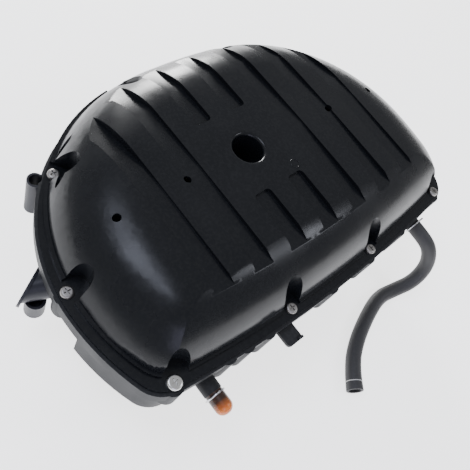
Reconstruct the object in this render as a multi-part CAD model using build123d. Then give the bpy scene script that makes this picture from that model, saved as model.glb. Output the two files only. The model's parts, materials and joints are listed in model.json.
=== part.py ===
"""Air filter housing for an inline four-cylinder engine, in millimetres.

+Z is up, +X runs across the housing and +Y runs towards its arched end.
The origin is the middle of the case's flat underside, on the line of symmetry.
"""
from math import cos, hypot, pi, radians, sin, sqrt, tan
import os

from build123d import *

# ---- Joint flange between cover and case ----------------------------------
half_width = 209.0          # widest half of the flange
widest_y = -34.0            # where the flange is widest
arch_y = 137.0              # middle of the arched end
arch_side = 156.0           # radius of the arch beside the widest point
front_y = -134.0            # middle of the front edge
side_taper = 19.0           # how far a front corner is in from the widest point
front_bow = 13.0            # how far a front corner is behind the middle
flange_corner = 26.0        # corner radius of the flange
cover_flange = 3.0          # thickness of the cover's flange
rim_proud = 2.5             # how far the case's rim stands out past the cover
rim_height = 13.0
rim_plate = 5.0             # thickness of the case's flange
case_height = 72.0          # underside of the case to the joint face

# ---- Dome of the cover ----------------------------------------------------
dome_height = 53.5          # above the joint face, at the crown
crown_radius = 3000.0       # very gentle crown of the top
dome_draft = 8.0            # degrees of draft on the dome's wall
dome_inset = 8.0            # dome's foot, in from the flange edge at the sides and the front
dome_swell = 4.5            # how much closer it comes to the edge in the middle of the arch
dome_side_swell = 17.5      # added to the radius of the arc beside the widest point
dome_corner = 32.0          # corner radius of the dome's foot
dome_edge = 24.0            # rounding over the front corners
dome_shoulder = 64.0        # rounding between wall and top along the sides and the arch
front_shoulder = 60.0       # the same along the front
shoulder_corner = 86.0      # corner radius of the large shoulder
shoulder_out = 26.0         # how far its front is moved out
shoulder_drop = 30.0        # how far its foot lies below the joint face
foot_step = 1.4             # small step around the foot of the dome
cover_wall = 2.8

# ---- Channels pressed into the top ----------------------------------------
channel_count = 7
channel_pitch = 39.7
channel_width = 18.0
channel_depth = 1.6         # in the middle of the top
channel_front_drop = 6.3    # floor's front end, below the crown
channel_front = 33.0        # front end, in from the dome's foot
channel_rear = 22.5         # rear end, in from the dome's foot
channel_dip = 10.5          # fall of the floor over its rear slope
outer_rear = 38.0           # the same two for the outermost channels
outer_dip = 6.0
channel_slope = 27.0        # length of the rear slope
channel_gap_front = -39.0   # where the two middle channels stop for the well
channel_gap_rear = 38.0
channel_corner = 4.0
mid_channels = (2, 3)       # the two channels that the well interrupts

# ---- Holes in the top -----------------------------------------------------
well_x = -20.3
well_radius = 14.0
well_wall = 2.4
well_depth = 40.0
well_lip = 3.0
vent_radius = 3.4
vent_xs = (87.5, 154.0)
flank_vents = ((38.0, 23.0, 9.8), (50.0, 17.0, 6.5))   # degrees round the arch, height, in from the foot
flank_vent_tilt = 40.0

# ---- Cover screws ---------------------------------------------------------
screw_inset = 7.0           # screw axis in from the flange edge
screw_front_x = 55.5
screw_corner_in = 33.0      # corner screw in from the widest point, along X
screw_corner_back = 5.0     # corner screw behind the front edge
screw_arch_x = 155.0
screw_side_y = -18.0
screw_shank = 2.5           # radius
screw_length = 15.0
screw_play = 0.5
screw_head = 5.25           # radius
screw_head_height = 3.2
corner_head = 6.2           # radius of the one replaced screw
corner_head_height = 3.0
driver_reach = 2.9          # half length of the cross recess
driver_blade = 1.1
driver_depth = 1.7
pocket_radius = 10.0
pocket_reach = 7.5          # how far a pocket's centre is in from its screw
insert_radius = 4.0
insert_length = 12.0
insert_play = 0.3
boss_radius = 9.5
boss_depth = 24.0

# ---- Seal between cover and case ------------------------------------------
seal_width = 2.4
seal_height = 2.4
seal_inset = 8.7
seal_detour = 6.0           # radius of the seal's way round a screw
seal_play = 0.1
rim_inner = 15.0            # inner edge of the case's flange, in from its outer edge

# ---- Lower case -----------------------------------------------------------
case_wall = 3.0
tub_inset = 11.0            # side wall, in from the flange edge
lobe_inset = 0.5            # corner lobes are nearly flush with the rim
lobe_back_y = -46.0         # where the corner lobes end
lobe_inner_x = 112.0
lobe_depth = 45.0           # joint face to the underside of the lobes
lobe_corner = 24.0
tub_corner = 24.0
bulge_xs = (-126.0, -107.0, -84.0, -4.0, 52.0, 106.0)
bulge_radius = 9.0
bulge_out = 4.5
bulge_depth = 34.0

# ---- Filter element -------------------------------------------------------
filter_y = -12.0            # middle of the element
filter_side_gap = 77.0      # element's end in from the widest point
filter_half_depth = 88.0
filter_height = 22.0
filter_rim = 9.0            # width of the frame's border
filter_web = 2.0            # thickness of the frame's floor bars
gasket_height = 3.0
filter_sink = 22.0          # seat below the joint face
filter_corner = 8.0
filter_play = 0.6
pleat_count = 38
pleat_wall = 1.2
pleat_bars = 3

# ---- Outlets to the carburettors ------------------------------------------
outlet_count = 4
outlet_bore = 20.5          # radius
boot_seat = 19.7            # radius of the narrower upper end that grips the funnel
boot_ledge = 8.0            # where the bore narrows, below the case's floor
boot_wall = 4.0
boot_lip = 4.0
boot_lip_height = 3.0
boot_length = 28.0
boot_margin = 3.0
funnel_wall = 1.8
funnel_height = 32.0
funnel_bell = 7.0
clamp_wall = 1.0
clamp_width = 9.0
clamp_rise = 8.0            # lower edge of the clamp above the boot's end
clamp_lug = 8.0
clamp_screw = 2.0
clamp_screw_length = 18.0

# ---- Intake ducts ---------------------------------------------------------
duct_root = 9.5             # radius inside, at the case
duct_mouth = 13.5           # radius inside, at the mouth
duct_wall = 2.2
duct_lip = 2.0
duct_lip_width = 2.5
duct_y = 4.0                # root, on the side wall
duct_below = 26.0           # root, below the joint face
duct_mouth_below = 35.0     # mouth centre, below the joint face
duct_out = 3.8              # mouth centre, out past the widest point
duct_ahead = 10.6           # mouth centre, towards the arch from the root
duct_turn = 57.6            # degrees that the mouth turns from facing sideways
duct_tip = 8.4              # degrees that the mouth tips up
duct_drain = 8.5            # radius of the drain stub
duct_drain_below = 61.0
duct_drain_y = 3.0
duct_drain_in = 1.0
duct_seal = 2.0
duct_seal_lip = 1.8
duct_pad = 13.0             # thickness of the wall's pad behind the duct
duct_pad_edge = 1.0

# ---- Drain, breather, tab and cable loop ----------------------------------
drain_x = -144.0
drain_below = 25.0
drain_collar = 8.2          # radius
drain_collar_out = 14.0
drain_nipple = 5.5          # radius
drain_nipple_out = 27.0
drain_cap = 7.6             # radius
drain_cap_length = 20.0
breather_x = 156.0
breather_below = 29.0
breather_nipple_out = 12.5
nipple_bore = 3.6           # radius inside both nipples
hose_bore = 5.5             # radius inside
hose_radius = 8.0           # radius outside
push_fit = 0.1
clip_wire = 0.9
clip_ear = 6.0
clip_in = 5.5               # a clip's distance from the end of what it grips
tab_x = -64.0
tab_width = 17.0
tab_out = 18.0
tab_thick = 3.2
tab_below = 9.0
tab_corner = 4.0
tab_curl = 2.4
loop_angle = 45.0           # degrees round the side arc from the widest point
loop_height = 42.0
loop_below = 3.0
loop_radius = 7.0
loop_wall = 1.8
loop_gap = 0.6              # from the bore to the cover's flange
loop_bracket = 10.0         # size of the block that joins the loop to the case

# Breather hose: route from its nipple down to the floor, then along it.
hose_route = [
    (156.0, -127.0, 43.0),
    (156.0, -147.0, 43.0),
    (161.5, -163.0, 33.0),
    (162.5, -175.0, 13.0),
    (149.0, -179.0, -6.0),
    (130.0, -173.0, -18.5),
    (108.0, -168.5, -20.0),
    (80.0, -175.5, -20.0),
    (47.0, -188.0, -20.0),
    (22.0, -204.0, -20.0),
    (6.4, -223.5, -20.0),
]

# ---- Worked-out values ----------------------------------------------------
joint_z = case_height
lobe_z = joint_z - lobe_depth
seat_z = joint_z - filter_sink
frame_z = seat_z + gasket_height
top_z = joint_z + dome_height
filter_half_width = half_width - filter_side_gap
boot_outer = outlet_bore + boot_wall
duct_hole = duct_root + duct_wall + duct_seal
outlet_span = 2 * (filter_half_width - case_wall - boot_outer - boot_lip - boot_margin)
outlet_xs = [(i / (outlet_count - 1) - 0.5) * outlet_span for i in range(outlet_count)]
channel_xs = [(i - (channel_count - 1) / 2) * channel_pitch for i in range(channel_count)]


# ---- Shared outlines ------------------------------------------------------
def arch(inset, swell=0):
    """Crown radius, its centre's Y and the X where the side arc starts; swell is 1 for the dome."""
    wide = half_width - inset
    rise = arch_y + swell * dome_swell - widest_y - inset
    side = arch_side + swell * dome_side_swell - inset
    crown = (wide ** 2 + rise ** 2 - 2 * wide * side) / (2 * (rise - side))
    centre_y = widest_y + rise - crown
    join_x = crown * (wide - side) / (crown - side)
    return crown, centre_y, join_x


def arch_edge(x, inset=0.0, swell=0):
    """Y of the arched edge at x, moved in by inset."""
    crown, centre_y, join_x = arch(inset, swell)
    if abs(x) <= join_x:
        return centre_y + sqrt(crown ** 2 - x ** 2)
    side = arch_side + swell * dome_side_swell
    return widest_y + sqrt(max((side - inset) ** 2 - (abs(x) - half_width + side) ** 2, 0.0))


def front_edge(x, inset=0.0):
    """Y of the front edge at x, moved in by inset."""
    corner_x = half_width - side_taper
    bow = (corner_x ** 2 + front_bow ** 2) / (2 * front_bow)
    return front_y + inset + bow - sqrt(bow ** 2 - x ** 2)


def plan(inset, corner, out=0.0, swell=0):
    """The D-shaped outline, moved in by inset, its front moved forwards by out."""
    wide = half_width - inset
    crown, centre_y, join_x = arch(inset, swell)
    join_y = centre_y + sqrt(crown ** 2 - join_x ** 2)
    corner_x = wide - side_taper
    front = front_y + inset - out
    corner_y = front + front_bow
    with BuildSketch() as outline:
        with BuildLine():
            ThreePointArc((join_x, join_y), (0, centre_y + crown), (-join_x, join_y))
            TangentArc((-wide, widest_y), (-join_x, join_y), tangent=(0, 1))
            TangentArc((-wide, widest_y), (-corner_x, corner_y), tangent=(0, -1))
            ThreePointArc((-corner_x, corner_y), (0, front), (corner_x, corner_y))
            TangentArc((wide, widest_y), (corner_x, corner_y), tangent=(0, -1))
            TangentArc((wide, widest_y), (join_x, join_y), tangent=(0, 1))
        make_face()
        fillet([v for v in outline.vertices() if v.Y < widest_y - 1], corner)
    return outline.sketch


def slab(inset, corner, low, high):
    """A plate with the D-shaped outline."""
    return extrude(Pos(0, 0, low) * plan(inset, corner), high - low)


def rod(radius, low, high, x=0.0, y=0.0):
    """An upright cylinder between two heights."""
    return Pos(x, y, (low + high) / 2) * Cylinder(radius, high - low)


def block(x_range, y_range, z_range):
    """A box between two corners."""
    size = [high - low for low, high in (x_range, y_range, z_range)]
    middle = [(high + low) / 2 for low, high in (x_range, y_range, z_range)]
    return Pos(*middle) * Box(*size)


def along_y(radius, near, far, x, z):
    """A cylinder along Y between two places."""
    return Pos(x, (near + far) / 2, z) * Rot(90, 0, 0) * Cylinder(radius, abs(far - near))


def screw_places():
    """Each cover screw as (x, y, inward x, inward y); the replaced one comes first."""
    corner_x = half_width - screw_corner_in
    corner_y = front_edge(corner_x) + screw_corner_back
    lean = sqrt(0.5)
    front_screw_y = front_edge(screw_front_x, screw_inset)
    arch_centre_y = arch(0)[1]
    arch_screw_y = arch_edge(screw_arch_x, screw_inset)
    reach = hypot(screw_arch_x, arch_screw_y - arch_centre_y)
    in_x = screw_arch_x / reach
    in_y = (arch_screw_y - arch_centre_y) / reach
    places = []
    for side in (-1, 1):
        places.append((side * corner_x, corner_y, -side * lean, lean))
        places.append((side * screw_front_x, front_screw_y, 0, 1))
        places.append((side * (half_width - screw_inset), screw_side_y, -side, 0))
        places.append((side * screw_arch_x, arch_screw_y, -side * in_x, -in_y))
        places.append((side * screw_front_x, arch_edge(screw_front_x, screw_inset), 0, -1))
    return places


# ---- Cover ----------------------------------------------------------------
def crowned(outline, low, top, rounding):
    """Leaning walls on an outline, a crowned top and a round edge between them."""
    walls = extrude(Pos(0, 0, low) * outline, top_z + 20 - low, taper=dome_draft)
    crown = Pos(0, 0, top - crown_radius) * Rot(90, 0, 0) * Sphere(crown_radius)
    body = walls & crown
    edges = [e for e in body.edges() if e.bounding_box().min.Z > (joint_z + top) / 2 - 8]
    return fillet(edges, rounding)


def front_arc(inset, low, top, rounding):
    """A disc with a leaning rim that follows the bowed front."""
    corner_x = half_width - side_taper
    bow = (corner_x ** 2 + front_bow ** 2) / (2 * front_bow)
    lean = tan(radians(dome_draft))
    outer = bow - inset + lean * (joint_z - low)
    with BuildSketch(Plane.XZ) as section:
        with BuildLine():
            Polyline((0, low), (outer, low), (outer - lean * (top - low), top), (0, top), close=True)
        make_face()
        fillet([v for v in section.vertices() if v.X > 1 and v.Y > low + 1], rounding)
    return Pos(0, front_y + bow, 0) * revolve(section.sketch, Axis.Z)


def dome(wall):
    """The dome's outer skin, or its inner one when given the wall thickness."""
    inset = dome_inset + wall
    top = top_z - wall
    low = joint_z - shoulder_drop
    foot = inset - shoulder_drop * tan(radians(dome_draft))
    body = crowned(plan(inset, dome_corner - wall, 0, 1), joint_z, top, dome_edge - wall)
    body &= crowned(plan(foot, shoulder_corner - wall, shoulder_out, 1), low, top, dome_shoulder - wall)
    return body & front_arc(inset, low, top, front_shoulder - wall)


def pocket(place, radius, low):
    """Clear space over one screw, open at the outside of the cover."""
    x, y, in_x, in_y = place
    centre = (x + pocket_reach * in_x, y + pocket_reach * in_y)
    outside = (x - 3 * pocket_radius * in_x, y - 3 * pocket_radius * in_y)
    slot = SlotCenterPoint(((centre[0] + outside[0]) / 2, (centre[1] + outside[1]) / 2), centre, 2 * radius)
    return extrude(Pos(0, 0, low) * slot, top_z - low)


def channel(index, grow):
    """What one channel removes; grow makes the matching bulge on the underside."""
    x = channel_xs[index]
    half = channel_width / 2 + grow
    drop = x ** 2 / (2 * crown_radius)
    floor = top_z - channel_depth - drop - grow
    front = front_edge(x, dome_inset + channel_front)
    outermost = index in (0, channel_count - 1)
    rear_in = outer_rear if outermost else channel_rear
    dip = outer_dip if outermost else channel_dip
    rear = arch_edge(abs(x) + channel_width / 2, dome_inset + rear_in, 1)
    knee = rear - channel_slope
    fall = (floor + grow - top_z + channel_front_drop) / -front
    steep = dip / channel_slope
    over = 2 * dome_shoulder
    knee_z = floor - fall * knee
    profile = Polyline(
        (front - over, floor + fall * (front - over)),
        (0, floor),
        (knee, knee_z),
        (rear + over, knee_z - steep * (channel_slope + over)),
        (rear + over, top_z + over),
        (front - over, top_z + over),
        close=True,
    )
    side = Plane(origin=(x - half, 0, 0), x_dir=(0, 1, 0), z_dir=(1, 0, 0))
    cut = extrude(side * make_face(profile), 2 * half)
    if index not in mid_channels:
        return cut
    spans = ((front - over, channel_gap_front + grow), (channel_gap_rear - grow, rear + over))
    keep = Part()
    for near, far in spans:
        outline = Pos(x, (near + far) / 2) * RectangleRounded(2 * half, far - near, channel_corner)
        keep += extrude(outline, top_z + 2 * over)
    return cut & keep


def flank_vent(angle, rise, inset, side):
    """A drilled hole through the dome's flank, square to its surface."""
    turn = radians(angle)
    reach = arch_side + dome_side_swell - dome_inset - inset
    x = side * (half_width - dome_inset - inset - reach + reach * cos(turn))
    y = widest_y + reach * sin(turn)
    heading = 90 - side * (90 - angle)
    tool = Rot(0, 0, heading) * Rot(90 - flank_vent_tilt, 0, 0) * Cylinder(vent_radius, 8 * cover_wall)
    return Pos(x, y, joint_z + rise) * tool


def upper_cover():
    """Moulded cover: flange, dome, channels, screw pockets, well and vents."""
    flange = slab(0, flange_corner, joint_z, joint_z + cover_flange)
    step = plan(dome_inset - foot_step, dome_corner, 0, 1)
    step = extrude(Pos(0, 0, joint_z) * step, 2 * cover_flange)
    body = dome(0)
    hollow = dome(cover_wall)
    body += step
    for place in screw_places():
        body -= pocket(place, pocket_radius, joint_z + cover_flange)
        hollow -= pocket(place, pocket_radius + cover_wall, joint_z)
    body += flange
    for index in range(channel_count):
        body -= channel(index, 0)
        hollow -= channel(index, cover_wall)
    hollow -= rod(well_radius + well_wall, top_z - well_depth - well_wall, top_z, well_x)
    body -= hollow
    body -= rod(well_radius, top_z - well_depth, top_z + well_lip, well_x)
    body = fillet([e for e in body.edges() if is_well_mouth(e)], well_lip)
    for x in vent_xs:
        for side in (-1, 1):
            body -= rod(vent_radius, joint_z + dome_height / 2, top_z + 1, side * x)
    for angle, rise, inset in flank_vents:
        for side in (-1, 1):
            body -= flank_vent(angle, rise, inset, side)
    for x, y, _, _ in screw_places():
        body -= rod(screw_shank + screw_play, joint_z - 1, joint_z + cover_flange + 1, x, y)
    return body


def is_well_mouth(edge):
    """Whether an edge is the top rim of the well."""
    box = edge.bounding_box()
    near = abs(box.center().X - well_x) < 1 and abs(box.center().Y) < 1
    return near and abs(box.size.X - 2 * well_radius) < 0.5 and box.min.Z > top_z - well_depth / 2


# ---- Fasteners ------------------------------------------------------------
def cross_recess(x, y, top):
    """The cross-shaped hole for a screwdriver."""
    bar = Box(2 * driver_reach, driver_blade, 2 * driver_depth)
    return Pos(x, y, top) * (bar + Rot(0, 0, 90) * bar)


def pan_screw(x, y, head, rise):
    """A pan-head screw standing on the cover's flange."""
    seat = joint_z + cover_flange
    body = rod(head, seat, seat + rise, x, y)
    top_edge = body.edges().sort_by(Axis.Z)[-1]
    body = fillet(top_edge, rise * 0.6)
    body += rod(screw_shank, seat - screw_length, seat, x, y)
    return body - cross_recess(x, y, seat + rise)


def cover_screws():
    """The nine matching cover screws."""
    return [pan_screw(x, y, screw_head, screw_head_height) for x, y, _, _ in screw_places()[1:]]


def corner_screw():
    """The odd screw at the left front corner."""
    x, y, _, _ = screw_places()[0]
    return pan_screw(x, y, corner_head, corner_head_height)


def screw_inserts():
    """Threaded brass inserts in the case's bosses."""
    inserts = []
    for x, y, _, _ in screw_places():
        sleeve = rod(insert_radius, joint_z - insert_length, joint_z, x, y)
        inserts.append(sleeve - rod(screw_shank + insert_play, joint_z - insert_length, joint_z, x, y))
    return inserts


# ---- Seal -----------------------------------------------------------------
def seal_band(grow, low, high):
    """The closed loop of the cover seal, passing inside every screw."""
    outer = slab(seal_inset - grow, flange_corner - seal_inset, low, high)
    inner = slab(seal_inset + seal_width + grow, flange_corner - seal_inset, low, high)
    for x, y, _, _ in screw_places():
        outer -= rod(seal_detour - grow, low, high, x, y)
        inner -= rod(seal_detour + seal_width + grow, low, high, x, y)
    return outer - inner


# ---- Lower case -----------------------------------------------------------
def filter_block(grow, low, high):
    """A rounded rectangle over the filter element, grown on every side."""
    width = 2 * (filter_half_width + grow)
    depth = 2 * (filter_half_depth + grow)
    outline = Pos(0, filter_y) * RectangleRounded(width, depth, max(filter_corner + grow, 2))
    return extrude(Pos(0, 0, low) * outline, high - low)


def lobes(inset, low, high):
    """The two deep corner lobes, nearly flush with the rim."""
    solid = slab(inset, lobe_corner, low, high)
    inner = lobe_inner_x + inset - lobe_inset
    back = lobe_back_y - inset + lobe_inset
    left = block((-half_width, -inner), (front_y, back), (low, high))
    right = block((inner, half_width), (front_y, back), (low, high))
    return solid & (left + right)


def drain_y():
    """Outside of the front wall at the drain."""
    return front_edge(drain_x, lobe_inset)


def breather_y():
    """Outside of the front wall at the breather."""
    return front_edge(breather_x, lobe_inset)


def mounting_tab():
    """Flat locating tongue with a curled tip, under the front edge."""
    edge = front_edge(tab_x)
    tip = edge - tab_out
    high = joint_z - tab_below
    plate = block((tab_x - tab_width / 2, tab_x + tab_width / 2), (tip, edge + rim_inner), (high - tab_thick, high))
    corners = plate.edges().filter_by(Axis.Z).group_by(Axis.Y)[0]
    plate = fillet(corners, tab_corner)
    curl_x = tab_x + tab_width / 2
    curl = block((curl_x - tab_width / 3, curl_x), (tip, tip + tab_curl), (high - tab_thick, high + tab_curl))
    return plate + fillet(curl.edges().filter_by(Axis.Y).group_by(Axis.Z)[-1], 1)


def lower_case():
    """Moulded case: flange, skirt, side chambers, clean chamber, bosses and spigots."""
    body = slab(tub_inset, tub_corner, lobe_z, joint_z)
    body += lobes(lobe_inset, lobe_z, joint_z)
    body += slab(-rim_proud, flange_corner + rim_proud, joint_z - rim_height, joint_z)
    body += filter_block(0, 0, lobe_z + 1)
    for x in bulge_xs:
        centre_y = front_edge(x) + bulge_out
        body += rod(bulge_radius, joint_z - bulge_depth, joint_z - 1, x, centre_y)
    for x, y, _, _ in screw_places():
        body += rod(boss_radius, joint_z - boss_depth, joint_z - 1, x, y)
    body += mounting_tab()
    loop_x, loop_y = loop_place()
    body -= rod(loop_radius - loop_wall, joint_z - loop_below - loop_height, joint_z, loop_x, loop_y)
    # side chambers, open at the top
    inner = tub_inset + case_wall
    hollow = slab(rim_inner, tub_corner - case_wall, lobe_z + case_wall, joint_z)
    hollow &= slab(inner, tub_corner - case_wall, lobe_z, joint_z)
    hollow += lobes(lobe_inset + case_wall, lobe_z + case_wall, joint_z - rim_plate)
    hollow -= filter_block(0, 0, seat_z)
    hollow += filter_block(-case_wall, case_wall, joint_z)
    for x, y, _, _ in screw_places():
        hollow -= rod(boss_radius, joint_z - boss_depth, joint_z, x, y)
    for x in bulge_xs:
        hollow -= rod(bulge_radius, joint_z - bulge_depth, joint_z, x, front_edge(x) + bulge_out)
    body -= hollow
    # hollow behind the skirt
    shell = slab(0, flange_corner, joint_z - rim_height, joint_z - rim_plate)
    shell -= slab(tub_inset, tub_corner, joint_z - rim_height, joint_z)
    shell -= lobes(lobe_inset, joint_z - rim_height, joint_z)
    for x, y, _, _ in screw_places():
        shell -= rod(boss_radius, joint_z - rim_height, joint_z, x, y)
    for x in bulge_xs:
        shell -= rod(bulge_radius, joint_z - rim_height, joint_z, x, front_edge(x) + bulge_out)
    shell -= block((tab_x - tab_width / 2, tab_x + tab_width / 2), (front_y, widest_y), (lobe_z, joint_z))
    body -= shell
    body -= seal_band(seal_play, joint_z - seal_height, joint_z)
    for x, y, _, _ in screw_places():
        body -= rod(insert_radius, joint_z - insert_length, joint_z, x, y)
        body -= rod(screw_shank + screw_play, joint_z - boss_depth + case_wall, joint_z, x, y)
    for x in outlet_xs:
        body -= rod(boot_outer, 0, case_wall, x, filter_y)
    # drain and breather nipples on the front walls of the lobes
    drain_z = joint_z - drain_below
    body += along_y(drain_collar, drain_y() + 1, drain_y() - drain_collar_out, drain_x, drain_z)
    body += along_y(drain_nipple, drain_y() + 1, drain_y() - drain_nipple_out, drain_x, drain_z)
    body -= along_y(nipple_bore, drain_y() + 3 * case_wall, drain_y() - drain_nipple_out, drain_x, drain_z)
    breather_z = joint_z - breather_below
    nipple = hose_bore - push_fit
    body += along_y(nipple, breather_y() + 1, breather_y() - breather_nipple_out, breather_x, breather_z)
    body -= along_y(nipple_bore, breather_y() + 3 * case_wall, breather_y() - breather_nipple_out,
                    breather_x, breather_z)
    for wall in (duct_neck, mirrored_neck):
        body += wall(duct_hole + duct_pad_edge, duct_pad, 0)
        body -= wall(duct_hole, duct_pad + 1, 2 * case_wall)
    return body


# ---- Filter ---------------------------------------------------------------
def filter_gasket():
    """Soft ring between the element's frame and its seat."""
    ring = filter_block(-filter_play, seat_z, frame_z)
    return ring - filter_block(-filter_play - filter_rim, seat_z, frame_z)


def filter_frame():
    """Moulded frame with cross bars under the pleats."""
    high = frame_z + filter_height
    ring = filter_block(-filter_play, frame_z, high)
    ring -= filter_block(-filter_play - filter_rim, frame_z, high)
    inner_width = 2 * (filter_half_width - filter_play - filter_rim)
    inner_depth = filter_half_depth - filter_play - filter_rim
    for i in range(pleat_bars):
        x = ((i + 1) / (pleat_bars + 1) - 0.5) * inner_width
        ring += block((x - filter_web, x + filter_web), (filter_y - inner_depth - 1, filter_y + inner_depth + 1),
                      (frame_z, frame_z + filter_web))
    return ring


def filter_pleats():
    """Pleated paper, folded across the element."""
    low = frame_z + filter_web
    high = frame_z + filter_height - 1
    half_width_in = filter_half_width - filter_play - filter_rim
    half_depth_in = filter_half_depth - filter_play - filter_rim
    step = 2 * half_width_in / pleat_count
    thick = pleat_wall / 2
    upper = []
    lower = []
    for i in range(pleat_count + 1):
        x = -half_width_in + i * step
        z = low if i % 2 == 0 else high
        rise = -1 if i % 2 == 0 else 1
        upper.append((x, z + (0 if rise > 0 else 2 * thick)))
        lower.append((x, z - (2 * thick if rise > 0 else 0)))
    wave = Polyline(*upper, *reversed(lower), close=True)
    side = Plane(origin=(0, filter_y + half_depth_in, 0), x_dir=(1, 0, 0), z_dir=(0, -1, 0))
    return extrude(side * make_face(wave), 2 * half_depth_in)


# ---- Outlets --------------------------------------------------------------
def ring_profile(points):
    """A solid of revolution about Z from (radius, height) points."""
    return revolve(make_face(Plane.XZ * Polyline(*points, close=True)), Axis.Z)


def outlet_boot(x):
    """Rubber boot that clips into the case's floor."""
    outer = boot_outer + boot_lip
    points = [
        (boot_seat, -boot_ledge), (outlet_bore, -boot_ledge), (outlet_bore, -boot_length),
        (boot_outer, -boot_length), (boot_outer, -boot_lip_height * 2),
        (outer, -boot_lip_height), (outer, 0), (boot_outer, 0), (boot_outer, case_wall),
        (outer, case_wall), (outer - 1, case_wall + boot_lip_height),
        (boot_seat, case_wall + boot_lip_height),
    ]
    return Pos(x, filter_y, 0) * ring_profile(points)


def intake_funnel(x):
    """Plastic bell mouth pressed into its boot."""
    inner = boot_seat - funnel_wall
    bell_z = funnel_height - funnel_bell
    with BuildSketch(Plane.XZ) as section:
        with BuildLine():
            Line((inner, -boot_ledge), (boot_seat, -boot_ledge))
            Line((boot_seat, -boot_ledge), (boot_seat, bell_z))
            ThreePointArc((boot_seat, bell_z),
                          (boot_seat + funnel_bell * (1 - sqrt(0.5)), bell_z + funnel_bell * sqrt(0.5)),
                          (boot_seat + funnel_bell, funnel_height))
            Line((boot_seat + funnel_bell, funnel_height), (boot_seat + funnel_bell, funnel_height + funnel_wall))
            ThreePointArc((boot_seat + funnel_bell, funnel_height + funnel_wall),
                          (inner + (funnel_bell + funnel_wall) * (1 - sqrt(0.5)),
                           bell_z + (funnel_bell + funnel_wall) * sqrt(0.5)),
                          (inner, bell_z))
            Line((inner, bell_z), (inner, -boot_ledge))
        make_face()
    return Pos(x, filter_y, 0) * revolve(section.sketch, Axis.Z)


def boot_clamp(x):
    """Steel band round a boot, with a lug for its screw."""
    low = clamp_rise - boot_length
    high = low + clamp_width
    band = rod(boot_outer + clamp_wall, low, high, x, filter_y)
    lug_y = filter_y - boot_outer
    half = clamp_lug / 2
    band += block((x - half, x + half), (lug_y - clamp_lug, lug_y), (low, high))
    band -= rod(boot_outer, low, high, x, filter_y)
    return band - clamp_bore(x, clamp_screw)


def clamp_bore(x, radius):
    """A rod across the clamp's lug."""
    middle = clamp_rise - boot_length + clamp_width / 2
    lug_y = filter_y - boot_outer - clamp_lug / 2 - clamp_wall
    return Pos(x, lug_y, middle) * Rot(0, 90, 0) * Cylinder(radius, clamp_screw_length)


def clamp_screws():
    """The four screws that tighten the boot clamps."""
    screws = []
    for x in outlet_xs:
        shank = clamp_bore(x, clamp_screw)
        lug_y = filter_y - boot_outer - clamp_lug / 2 - clamp_wall
        middle = clamp_rise - boot_length + clamp_width / 2
        head = Pos(x - clamp_lug / 2 - 1.6, lug_y, middle) * Rot(0, 90, 0) * Cylinder(3.2, 3.2)
        slot = Pos(x - clamp_lug / 2 - 3.2, lug_y, middle) * Box(2, 8, 1)
        screws.append(shank + head - slot)
    return screws


# ---- Intake ducts ---------------------------------------------------------
def duct_plane():
    """Plane of the left duct's mouth; its normal points out of the mouth."""
    turn = radians(duct_turn)
    tip = radians(duct_tip)
    normal = (-cos(turn) * cos(tip), sin(turn) * cos(tip), sin(tip))
    centre = (-half_width - duct_out, duct_y + duct_ahead, joint_z - duct_mouth_below)
    return Plane(origin=centre, z_dir=normal)


def duct_tube(grow):
    """The left duct's round tube, from inside the wall to its mouth."""
    wall_x = -(half_width - tub_inset)
    root_plane = Plane(origin=(wall_x - 2, duct_y, joint_z - duct_below), z_dir=(-1, 0, 0))
    root = root_plane * Circle(duct_root + grow)
    mouth = duct_plane() * Circle(duct_mouth + grow)
    return loft([root.faces()[0], mouth.faces()[0]])


def duct_neck(radius, near, far):
    """A cylinder through the left side wall."""
    wall_x = -(half_width - tub_inset)
    length = near + far
    return Pos(wall_x + (near - far) / 2, duct_y, joint_z - duct_below) * Rot(0, 90, 0) * Cylinder(radius, length)


def mirrored_neck(radius, near, far):
    """A cylinder through the right side wall."""
    return mirror(duct_neck(radius, near, far), Plane.YZ)


def left_duct():
    """Air intake with a lipped mouth and a water trap under it."""
    mouth = duct_plane()
    body = duct_tube(duct_wall)
    body += duct_neck(duct_root + duct_wall, duct_pad + duct_seal, 2)
    lip = mouth * (Pos(0, 0, -duct_lip_width / 2) * Cylinder(duct_mouth + duct_wall + duct_lip, duct_lip_width))
    body += lip
    trap_x = -half_width - duct_out + duct_drain_in
    trap_top = joint_z - duct_mouth_below - duct_root / 2
    trap = rod(duct_drain, joint_z - duct_drain_below, trap_top, trap_x, duct_drain_y)
    trap = fillet(trap.edges().sort_by(Axis.Z)[0], duct_drain / 3)
    body += trap
    trap_floor = joint_z - duct_drain_below + duct_wall
    body -= rod(duct_drain - duct_wall, trap_floor, joint_z - duct_mouth_below, trap_x, duct_drain_y)
    body -= duct_tube(0) + duct_neck(duct_root, duct_pad + duct_seal + 1, 2)
    return body


def left_duct_seal():
    """Rubber ring between the left duct and the case."""
    ring = duct_neck(duct_hole, duct_pad + duct_seal, 0)
    ring += duct_neck(duct_hole + duct_seal_lip, duct_pad + duct_seal, -duct_pad)
    return ring - duct_neck(duct_root + duct_wall, duct_pad + duct_seal + 1, 1)


# ---- Small parts outside --------------------------------------------------
def drain_cap_part():
    """Round-ended translucent cap on the drain nipple."""
    near = drain_y() - drain_collar_out
    far = near - drain_cap_length
    z = joint_z - drain_below
    body = along_y(drain_cap, near, far, drain_x, z)
    body = fillet(body.edges().sort_by(Axis.Y)[0], drain_cap * 0.9)
    depth = drain_nipple_out - drain_collar_out + 1
    return body - along_y(drain_nipple + push_fit, near, near - depth, drain_x, z)


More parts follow.
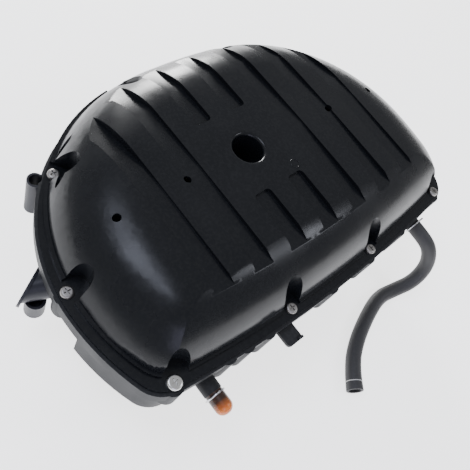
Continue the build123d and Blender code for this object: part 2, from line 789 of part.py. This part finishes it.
def wire_clip(radius, x, y, z):
    """Spring wire clip round a tube that runs along Y."""
    ring = Pos(x, y, z) * Rot(90, 0, 0) * Torus(radius + clip_wire, clip_wire)
    for side in (-1, 1):
        ear = Pos(x + side * clip_wire * 1.6, y, z + radius + clip_wire + clip_ear / 2)
        ring += ear * Cylinder(clip_wire, clip_ear)
    return ring


def breather_hose():
    """Moulded rubber hose from its nipple to its free end on the floor."""
    points = [Vector(*p) for p in hose_route]
    radii = []
    for before, at, after in zip(points, points[1:], points[2:]):
        turn = radians((at - before).get_angle(after - at))
        radii.append(0.45 * min((at - before).length, (after - at).length) / tan(turn / 2))
    print("hose bend radii", [round(r, 1) for r in radii])
    path = FilletPolyline(*points, radius=radii)
    print("hose length", round(path.length, 1))
    start = Plane(origin=path @ 0, z_dir=path % 0)
    section = start * (Circle(hose_radius) - Circle(hose_bore))
    tube = sweep(section, path=path)
    expected = pi * (hose_radius ** 2 - hose_bore ** 2) * path.length
    print("hose volume over section times length", round(tube.volume / expected, 4))
    return tube


def loop_place():
    """Axis of the cable loop, just clear of the cover's flange."""
    reach = arch_side + loop_radius - loop_wall + loop_gap
    turn = radians(loop_angle)
    return arch_side - half_width - reach * cos(turn), widest_y + reach * sin(turn)


def cable_loop():
    """Open sleeve on the case's flank that holds a cable."""
    x, y = loop_place()
    high = joint_z - loop_below
    low = high - loop_height
    ring = rod(loop_radius, low, high, x, y)
    reach = tub_inset + rim_proud + 2 * loop_radius
    bracket = Rot(0, 0, -loop_angle) * Pos(reach / 2, 0, 0) * Box(reach, loop_bracket, loop_bracket)
    ring += Pos(x, y, joint_z - rim_height - loop_bracket) * bracket
    ring -= rod(loop_radius - loop_wall, low, high, x, y)
    ring -= slab(-rim_proud, flange_corner + rim_proud, joint_z - rim_height, joint_z)
    for screw_x, screw_y, _, _ in screw_places():
        ring -= rod(boss_radius, joint_z - boss_depth, joint_z, screw_x, screw_y)
    return ring - slab(tub_inset, tub_corner, lobe_z, joint_z)


def save(name, shape):
    """Write one node; a list becomes a group of separate solids."""
    solids = shape if isinstance(shape, list) else [shape]
    solids = [solid for item in solids for solid in item.solids()]
    whole = solids[0] if len(solids) == 1 else Compound(children=solids)
    export_step(whole, f"parts/{name}.step")


def main():
    os.makedirs("parts", exist_ok=True)
    save("upper_cover", upper_cover())
    save("cover_screws", cover_screws())
    save("corner_screw", corner_screw())
    save("screw_inserts", screw_inserts())
    save("cover_seal", seal_band(0, joint_z - seal_height, joint_z))
    save("lower_case", lower_case())
    save("filter_gasket", filter_gasket())
    save("filter_frame", filter_frame())
    save("filter_pleats", filter_pleats())
    for number, x in enumerate(outlet_xs, start=1):
        save(f"outlet_boot_{number}", outlet_boot(x))
        save(f"intake_funnel_{number}", intake_funnel(x))
        save(f"boot_clamp_{number}", boot_clamp(x))
    save("clamp_screws", clamp_screws())
    save("intake_duct_left", left_duct())
    save("intake_duct_right", mirror(left_duct(), Plane.YZ))
    save("duct_seal_left", left_duct_seal())
    save("duct_seal_right", mirror(left_duct_seal(), Plane.YZ))
    save("drain_cap", drain_cap_part())
    drain_clip_y = drain_y() - drain_collar_out - clip_in / 2
    save("drain_clip", wire_clip(drain_cap, drain_x, drain_clip_y, joint_z - drain_below))
    save("breather_hose", breather_hose())
    breather_clip_y = hose_route[0][1] - clip_in
    save("breather_clip", wire_clip(hose_radius, breather_x, breather_clip_y, joint_z - breather_below))
    save("cable_loop", cable_loop())


if __name__ == "__main__":
    main()
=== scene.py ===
# %% [markdown]
# # Air filter housing
# A motorcycle's air filter housing sits under the fuel tank and feeds four carburettors. It is a ribbed
# black cover screwed to a deeper case, with the filter element, funnels, ducts and hoses round it. The
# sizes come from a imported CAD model. Each cell below adds one piece or one finish, and says why it is
# made that way.

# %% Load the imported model
import math

import bpy
from mathutils import Matrix, Vector
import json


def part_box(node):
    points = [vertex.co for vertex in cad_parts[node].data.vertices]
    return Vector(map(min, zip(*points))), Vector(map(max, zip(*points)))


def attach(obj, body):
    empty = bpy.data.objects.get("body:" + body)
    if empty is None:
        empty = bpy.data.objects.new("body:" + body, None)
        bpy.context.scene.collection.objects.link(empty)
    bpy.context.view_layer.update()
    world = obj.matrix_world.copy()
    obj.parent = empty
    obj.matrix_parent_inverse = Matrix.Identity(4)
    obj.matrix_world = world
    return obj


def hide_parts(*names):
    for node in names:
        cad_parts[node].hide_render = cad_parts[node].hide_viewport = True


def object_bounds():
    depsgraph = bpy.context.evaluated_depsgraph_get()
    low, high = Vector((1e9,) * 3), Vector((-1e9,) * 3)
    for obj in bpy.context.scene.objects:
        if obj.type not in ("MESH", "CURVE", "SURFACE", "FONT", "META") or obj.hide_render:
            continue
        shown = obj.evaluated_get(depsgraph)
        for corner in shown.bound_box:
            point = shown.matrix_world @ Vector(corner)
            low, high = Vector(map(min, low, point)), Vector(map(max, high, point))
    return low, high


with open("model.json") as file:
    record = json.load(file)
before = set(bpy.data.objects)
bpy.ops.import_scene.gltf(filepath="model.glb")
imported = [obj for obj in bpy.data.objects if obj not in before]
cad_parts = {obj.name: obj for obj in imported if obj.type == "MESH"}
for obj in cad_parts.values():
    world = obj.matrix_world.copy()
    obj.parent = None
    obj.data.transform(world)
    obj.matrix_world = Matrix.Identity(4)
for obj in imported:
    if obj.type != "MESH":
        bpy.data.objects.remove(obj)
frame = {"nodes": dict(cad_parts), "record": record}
cad_low, cad_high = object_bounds()
nodes = frame["nodes"]
MM = 0.001
print("CAD box", tuple(cad_low), tuple(cad_high))

# %% [markdown]
# ## Camera
# The housing is seen from above its front left corner, with the camera turned over to one side, so the
# long front edge runs up to the right. The three angles are written as such, and the camera's axes are
# worked out from them.

# %% Camera
AZIMUTH = math.radians(70.56)
ELEVATION = math.radians(54.5)
ROLL = math.radians(35.27)
LENS = 45.96
CAMERA_PLACE = Vector((-0.33735, -0.14704, 0.49795))

ahead = Vector((math.sin(AZIMUTH) * math.cos(ELEVATION), math.cos(AZIMUTH) * math.cos(ELEVATION),
                -math.sin(ELEVATION)))
level = ahead.cross(Vector((0, 0, 1))).normalized()
upright = level.cross(ahead)
right = level * math.cos(ROLL) + upright * math.sin(ROLL)
up = upright * math.cos(ROLL) - level * math.sin(ROLL)

camera_data = bpy.data.cameras.new("camera")
camera_data.lens = LENS
camera_data.sensor_width = 36.0
camera = bpy.data.objects.new("camera", camera_data)
bpy.context.collection.objects.link(camera)
camera.matrix_world = Matrix((
    (right.x, up.x, -ahead.x, CAMERA_PLACE.x),
    (right.y, up.y, -ahead.y, CAMERA_PLACE.y),
    (right.z, up.z, -ahead.z, CAMERA_PLACE.z),
    (0, 0, 0, 1),
))
bpy.context.scene.camera = camera

# %% [markdown]
# ## Floor and light
# A plain pale floor and large soft lights show black plastic best: the plastic itself is nearly black,
# and what the eye reads is the reflection of the lights on its curves.

# %% Floor
FLOOR_SIZE = 6.0
FLOOR_GAP = 0.5 * MM
FLOOR_GLOW = 2.0
FLOOR_Z = cad_low.z - FLOOR_GAP

bpy.ops.object.select_all(action="DESELECT")
bpy.ops.mesh.primitive_plane_add(size=FLOOR_SIZE, location=(0, 0, FLOOR_Z))
floor = bpy.context.object
floor.name = "floor"
floor_paint = bpy.data.materials.new("floor_paint")
floor_paint.use_nodes = True
floor_shader = floor_paint.node_tree.nodes["Principled BSDF"]
floor_shader.inputs["Base Color"].default_value = (0.93, 0.93, 0.93, 1)
floor_shader.inputs["Roughness"].default_value = 0.9
floor_shader.inputs["Emission Color"].default_value = (1, 1, 1, 1)
floor_shader.inputs["Emission Strength"].default_value = FLOOR_GLOW
floor.data.materials.append(floor_paint)

# %% [markdown]
# ## Lights
# A large window low behind the arched end puts the strongest reflections on the rear shoulder. A bluish
# ceiling lamp and a violet side lamp draw the soft sheen on the left flank, and a weak lamp in front
# keeps the front wall from going flat.

# %% Lights
WORLD_STRENGTH = 0.5
LIT_POINT = (0, 0, 0.08)


def soft_light(name, place, size, power, tint=(1, 1, 1)):
    """A square area lamp turned towards the middle of the housing."""
    data = bpy.data.lights.new(name, "AREA")
    data.size = size
    data.energy = power
    data.color = tint
    lamp = bpy.data.objects.new(name, data)
    lamp.location = place
    towards = Vector(LIT_POINT) - Vector(place)
    lamp.rotation_euler = towards.to_track_quat("-Z", "Y").to_euler()
    bpy.context.collection.objects.link(lamp)
    return lamp


soft_light("window_light", (0.72, 1.38, 0.34), 0.5, 34)
soft_light("ceiling_light", (-0.43, 0.39, 1.35), 0.6, 9, (0.78, 0.83, 1.0))
soft_light("front_light", (0.75, -0.75, 1.05), 0.35, 4, (0.88, 0.91, 1.0))
soft_light("side_light", (-0.85, -1.05, 0.9), 0.8, 6, (0.72, 0.72, 1.0))

world = bpy.data.worlds.new("studio")
world.use_nodes = True
world.node_tree.nodes["Background"].inputs["Color"].default_value = (1, 1, 1, 1)
world.node_tree.nodes["Background"].inputs["Strength"].default_value = WORLD_STRENGTH
bpy.context.scene.world = world

# %% [markdown]
# ## A recipe for moulded and rubber surfaces
# Nearly everything here is black, so the pieces are told apart by gloss and not by colour. One recipe
# serves them all: a fine grain in the normal, a slow drift of the gloss that stands for handling and
# wiping, and a little pale dust that lies only on faces that look up.

# %% Surface recipe
DRIFT_SCALE = 22.0
SPECK_SCALE = 420.0
GRAIN_HEIGHT = 0.2 * MM
NOISE_LOW = 0.35
NOISE_HIGH = 0.65
DUST_COLOUR = (0.22, 0.22, 0.21, 1)


def add_node(tree, kind, **values):
    """A new shader node with some of its sockets or properties set."""
    node = tree.nodes.new(kind)
    for name, value in values.items():
        if name in node.inputs:
            node.inputs[name].default_value = value
        else:
            setattr(node, name, value)
    return node


def spread(tree, source, low, high):
    """Stretches the middle of a noise between low and high."""
    node = add_node(tree, "ShaderNodeMapRange")
    node.inputs["From Min"].default_value = NOISE_LOW
    node.inputs["From Max"].default_value = NOISE_HIGH
    node.inputs["To Min"].default_value = low
    node.inputs["To Max"].default_value = high
    tree.links.new(source, node.inputs["Value"])
    return node.outputs["Result"]


def surface(name, colour, gloss, grain=0.08, grain_scale=1800, dust=0.0, metallic=0.0):
    """A material with grain, drifting gloss and dust; gloss is its lowest and highest roughness."""
    material = bpy.data.materials.new(name)
    material.use_nodes = True
    tree = material.node_tree
    shader = tree.nodes["Principled BSDF"]
    shader.inputs["Metallic"].default_value = metallic
    place = add_node(tree, "ShaderNodeTexCoord").outputs["Object"]

    drift = add_node(tree, "ShaderNodeTexNoise", Scale=DRIFT_SCALE, Detail=5.0)
    fine = add_node(tree, "ShaderNodeTexNoise", Scale=grain_scale, Detail=2.0)
    specks = add_node(tree, "ShaderNodeTexNoise", Scale=SPECK_SCALE, Detail=4.0)
    for noise in (drift, fine, specks):
        tree.links.new(place, noise.inputs["Vector"])
    tree.links.new(spread(tree, drift.outputs["Fac"], *gloss), shader.inputs["Roughness"])

    bump = add_node(tree, "ShaderNodeBump", Strength=grain, Distance=GRAIN_HEIGHT)
    tree.links.new(fine.outputs["Fac"], bump.inputs["Height"])
    tree.links.new(bump.outputs["Normal"], shader.inputs["Normal"])

    up_face = add_node(tree, "ShaderNodeSeparateXYZ")
    normal = add_node(tree, "ShaderNodeNewGeometry").outputs["Normal"]
    tree.links.new(normal, up_face.inputs["Vector"])
    lying = add_node(tree, "ShaderNodeMath", operation="MULTIPLY", use_clamp=True)
    tree.links.new(up_face.outputs["Z"], lying.inputs[0])
    tree.links.new(spread(tree, specks.outputs["Fac"], -0.6 * dust, 1.4 * dust), lying.inputs[1])
    mix = add_node(tree, "ShaderNodeMix", data_type="RGBA")
    mix.inputs["A"].default_value = (*colour, 1)
    mix.inputs["B"].default_value = DUST_COLOUR
    tree.links.new(lying.outputs["Value"], mix.inputs["Factor"])
    tree.links.new(mix.outputs["Result"], shader.inputs["Base Color"])
    return material


# %% [markdown]
# ## The finish of each material
# The cover is glossier than the case, because it is the side that gets wiped. The steel is zinc-plated
# and has gone dull, apart from one newer screw. The seals and the hose are matt rubber.

# %% Finishes
BLACK_SHINE = 0.24

finishes = {
    "cover_plastic": surface("cover_plastic", (0.006, 0.007, 0.009), (0.20, 0.32), 0.03, 1500, 0.012),
    "case_plastic": surface("case_plastic", (0.014, 0.015, 0.017), (0.48, 0.60), 0.08, 1200, 0.03),
    "duct_plastic": surface("duct_plastic", (0.018, 0.019, 0.026), (0.36, 0.48), 0.06, 1200, 0.02),
    "funnel_plastic": surface("funnel_plastic", (0.012, 0.012, 0.013), (0.35, 0.45)),
    "filter_plastic": surface("filter_plastic", (0.016, 0.016, 0.017), (0.45, 0.55)),
    "screw_steel": surface("screw_steel", (0.30, 0.29, 0.28), (0.32, 0.52), 0.25, 900, 0, 1.0),
    "bright_steel": surface("bright_steel", (0.62, 0.62, 0.61), (0.22, 0.34), 0.10, 900, 0, 1.0),
    "clip_steel": surface("clip_steel", (0.58, 0.58, 0.60), (0.20, 0.32), 0.05, 900, 0, 1.0),
    "clamp_steel": surface("clamp_steel", (0.50, 0.50, 0.51), (0.26, 0.38), 0.05, 900, 0, 1.0),
    "insert_brass": surface("insert_brass", (0.62, 0.42, 0.17), (0.28, 0.40), 0.05, 900, 0, 1.0),
    "seal_rubber": surface("seal_rubber", (0.012, 0.012, 0.012), (0.60, 0.72)),
    "boot_rubber": surface("boot_rubber", (0.014, 0.014, 0.015), (0.50, 0.64), 0.12, 1400, 0.02),
    "hose_rubber": surface("hose_rubber", (0.026, 0.026, 0.028), (0.50, 0.64), 0.12, 1400, 0.02),
    "filter_foam": surface("filter_foam", (0.05, 0.05, 0.05), (0.85, 0.95), 0.60, 1600),
    "filter_paper": surface("filter_paper", (0.60, 0.47, 0.27), (0.85, 0.95), 0.40, 1800),
    "drain_cap": surface("drain_cap", (0.060, 0.018, 0.006), (0.22, 0.32), 0.05, 1400),
}

for name in ("cover_plastic", "case_plastic", "duct_plastic"):
    finishes[name].node_tree.nodes["Principled BSDF"].inputs["Specular IOR Level"].default_value = BLACK_SHINE

for row in frame["record"]["subparts"]:
    for slot in nodes[row["node"]].material_slots:
        slot.material = finishes[row["material_slot"]]

# %% [markdown]
# ## Softened cover
# A moulding has no knife edges: each edge of the channels and pockets is rounded a little, and that is
# what catches the light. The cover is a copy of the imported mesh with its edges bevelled.

# %% Softened cover
EDGE_ROUND = 0.35 * MM
MERGE_WITHIN = 0.005 * MM
SHARP_FROM = math.radians(35)
SMOOTH_TO = math.radians(30)

cover = nodes["upper_cover"].copy()
cover.data = nodes["upper_cover"].data.copy()
cover.name = "soft_cover"
cover.parent = None
bpy.context.collection.objects.link(cover)
bpy.ops.object.select_all(action="DESELECT")
cover.select_set(True)
bpy.context.view_layer.objects.active = cover
bpy.ops.mesh.customdata_custom_splitnormals_clear()
bpy.ops.object.mode_set(mode="EDIT")
bpy.ops.mesh.select_all(action="SELECT")
bpy.ops.mesh.remove_doubles(threshold=MERGE_WITHIN)
bpy.ops.object.mode_set(mode="OBJECT")
soften = cover.modifiers.new("soften", "BEVEL")
soften.width = EDGE_ROUND
soften.segments = 1
soften.limit_method = "ANGLE"
soften.angle_limit = SHARP_FROM
bpy.ops.object.modifier_apply(modifier="soften")
bpy.ops.object.shade_smooth_by_angle(angle=SMOOTH_TO)
level_normals = cover.modifiers.new("level_normals", "WEIGHTED_NORMAL")
level_normals.keep_sharp = True
bpy.ops.object.modifier_apply(modifier="level_normals")
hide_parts("upper_cover")
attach(cover, "cover")

# %% [markdown]
# ## Amber drain cap
# The cap is a soft clear plastic stained dark brown by oil. Light gets through its thin round tip, so
# the tip glows orange. The colour runs along the cap's length, worked out from its own box.

# %% Drain cap
GLOW_FROM = 4 * MM
GLOW_TO = 12 * MM
AMBER = (0.75, 0.20, 0.03, 1)
OILY_BROWN = (0.045, 0.014, 0.006, 1)

cap_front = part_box("drain_cap")[0][1]
cap_tree = finishes["drain_cap"].node_tree
cap_shader = cap_tree.nodes["Principled BSDF"]
cap_place = add_node(cap_tree, "ShaderNodeSeparateXYZ")
cap_coords = add_node(cap_tree, "ShaderNodeTexCoord")
cap_tree.links.new(cap_coords.outputs["Object"], cap_place.inputs["Vector"])
along_cap = add_node(cap_tree, "ShaderNodeMapRange")
along_cap.inputs["From Min"].default_value = cap_front + GLOW_FROM
along_cap.inputs["From Max"].default_value = cap_front + GLOW_TO
cap_tree.links.new(cap_place.outputs["Y"], along_cap.inputs["Value"])
cap_colour = add_node(cap_tree, "ShaderNodeMix", data_type="RGBA")
cap_colour.inputs["A"].default_value = AMBER
cap_colour.inputs["B"].default_value = OILY_BROWN
cap_tree.links.new(along_cap.outputs["Result"], cap_colour.inputs["Factor"])
cap_tree.links.new(cap_colour.outputs["Result"], cap_shader.inputs["Base Color"])
cap_shader.inputs["Transmission Weight"].default_value = 0.25
cap_shader.inputs["Subsurface Weight"].default_value = 0.3
cap_shader.inputs["Subsurface Scale"].default_value = 3 * MM

# %% [markdown]
# ## Breather hose
# A moulded rubber hose is a fixed length that keeps the bends it was made with. Its line is a curve
# with few points, so it has no kinks. The tube is made from the same curve, then given a wall, because
# the open end shows that it is hollow. The last few millimetres are stretched a little.

# %% Breather hose
HOSE_RADIUS = 8.0 * MM
HOSE_WALL = 2.5 * MM
END_STRETCH = 1.1
LIP_ROUND = 0.4 * MM
HOSE_ROUTE = [
    (156, -127, 43), (156, -147, 43), (161.5, -163, 33), (162.5, -175, 13), (149, -179, -6),
    (130, -173, -18.5), (108, -168.5, -20), (80, -175.5, -20), (47, -188, -20), (22, -204, -20),
    (6.4, -223.5, -20),
]


def route_curve(name, depth):
    """The hose's line as a curve object, with a round section if depth isn't zero."""
    curve = bpy.data.curves.new(name, "CURVE")
    curve.dimensions = "3D"
    curve.resolution_u = 16
    curve.bevel_depth = depth
    curve.bevel_resolution = 10
    spline = curve.splines.new("NURBS")
    spline.points.add(len(HOSE_ROUTE) - 1)
    for point, place in zip(spline.points, HOSE_ROUTE):
        point.co = (place[0] * MM, place[1] * MM, place[2] * MM, 1)
    spline.points[-1].radius = END_STRETCH
    spline.order_u = 3
    spline.use_endpoint_u = True
    item = bpy.data.objects.new(name, curve)
    bpy.context.collection.objects.link(item)
    return item


line = route_curve("hose_line", 0)
line_mesh = bpy.data.meshes.new_from_object(line)
hose_path = [vertex.co.copy() for vertex in line_mesh.vertices]
bpy.data.objects.remove(line)

bpy.ops.object.select_all(action="DESELECT")
hose = route_curve("breather_hose_tube", HOSE_RADIUS)
hose.select_set(True)
bpy.context.view_layer.objects.active = hose
bpy.ops.object.convert(target="MESH")
wall = hose.modifiers.new("wall", "SOLIDIFY")
wall.thickness = HOSE_WALL
wall.offset = -1
lip = hose.modifiers.new("lip", "BEVEL")
lip.width = LIP_ROUND
lip.segments = 2
lip.limit_method = "ANGLE"
bpy.ops.object.modifier_apply(modifier="wall")
bpy.ops.object.modifier_apply(modifier="lip")
bpy.ops.object.shade_smooth_by_angle(angle=math.radians(40))
hose.data.materials.clear()
hose.data.materials.append(finishes["hose_rubber"])

# %% [markdown]
# ## Paint ring on the hose
# A thin white ring near the open end marks how far the hose is pushed on. It is a thin torus,
# square to the hose's line.

# %% Paint ring
RING_FROM_END = 9.0 * MM
RING_PROUD = 0.1 * MM
RING_LINE = 0.55 * MM

hose_end = hose_path[-1]
end_way = (hose_path[-1] - hose_path[-3]).normalized()
bpy.ops.object.select_all(action="DESELECT")
bpy.ops.mesh.primitive_torus_add(
    major_segments=64, minor_segments=12, major_radius=HOSE_RADIUS + RING_PROUD, minor_radius=RING_LINE,
    location=hose_end - end_way * RING_FROM_END, rotation=end_way.to_track_quat("Z", "Y").to_euler(),
)
ring = bpy.context.object
ring.name = "hose_ring"
bpy.ops.object.transform_apply(location=True, rotation=True, scale=True)
bpy.ops.object.shade_smooth()
ring.data.materials.append(surface("ring_paint", (0.62, 0.62, 0.60), (0.5, 0.65)))
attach(ring, "case")

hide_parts("breather_hose")
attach(hose, "case")

# %% [markdown]
# ## Mould mark
# A small raised ring is left by an insert in the mould. It carries no writing.

# %% Mould mark
MARK_PLACE = Vector((8.0, -32.0, 0)) * MM
MARK_RADIUS = 4.2 * MM
MARK_LINE = 0.45 * MM
MARK_SINK = 0.25 * MM

cover_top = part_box("upper_cover")[1][2]
bpy.ops.object.select_all(action="DESELECT")
bpy.ops.mesh.primitive_torus_add(
    major_segments=48, minor_segments=8, major_radius=MARK_RADIUS, minor_radius=MARK_LINE,
    location=(MARK_PLACE.x, MARK_PLACE.y, cover_top - MARK_SINK),
)
mark = bpy.context.object
mark.name = "mould_mark"
bpy.ops.object.transform_apply(location=True, rotation=True, scale=True)
bpy.ops.object.shade_smooth()
mark.data.materials.append(finishes["cover_plastic"])
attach(mark, "cover")
